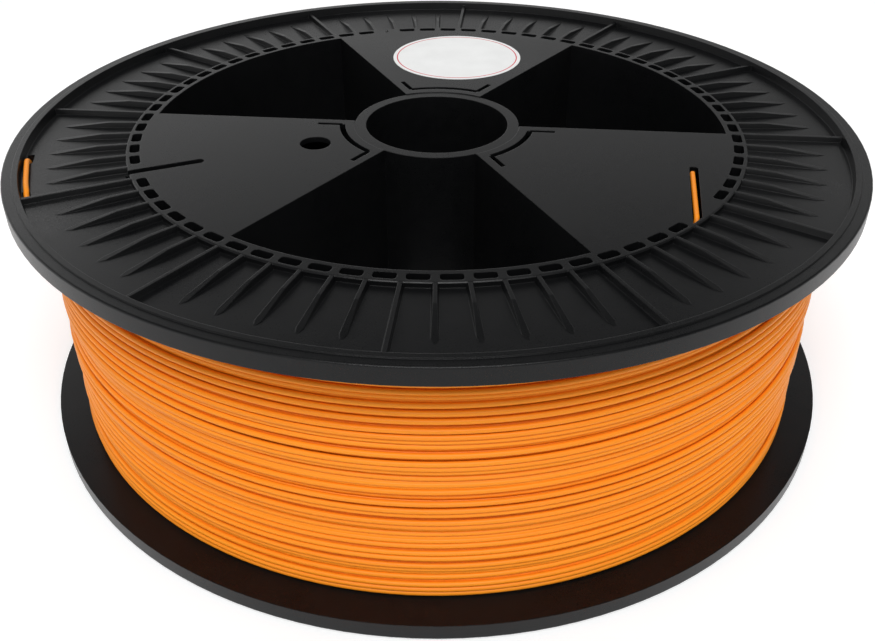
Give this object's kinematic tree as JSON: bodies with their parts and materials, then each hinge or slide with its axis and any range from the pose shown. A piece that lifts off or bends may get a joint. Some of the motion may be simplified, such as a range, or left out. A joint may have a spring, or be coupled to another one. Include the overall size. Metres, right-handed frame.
{
  "type": "filament spool",
  "caption": "Large flanged plastic spool wound with thick 3-D printing filament, with webs, windows, a central bore and drive holes.",
  "frame": {"origin": "on the spool's axis, level with the lower rim that it rests on", "axes": "+Z along the bore, up out of the upper flange; +X to the right of someone who looks along +Y with the first web pointing away"},
  "size_m": [0.3, 0.3, 0.101],
  "materials": {
    "spool_plastic": "satin black moulded plastic",
    "filament": "glossy orange filament",
    "label_paper": "white paper label"
  },
  "bodies": {
    "root": {"upper_half": "spool_plastic", "lower_half": "spool_plastic", "filament_core": "filament", "filament_turns": "filament", "filament_start": "filament", "label": "label_paper"}
  },
  "joints": []
}
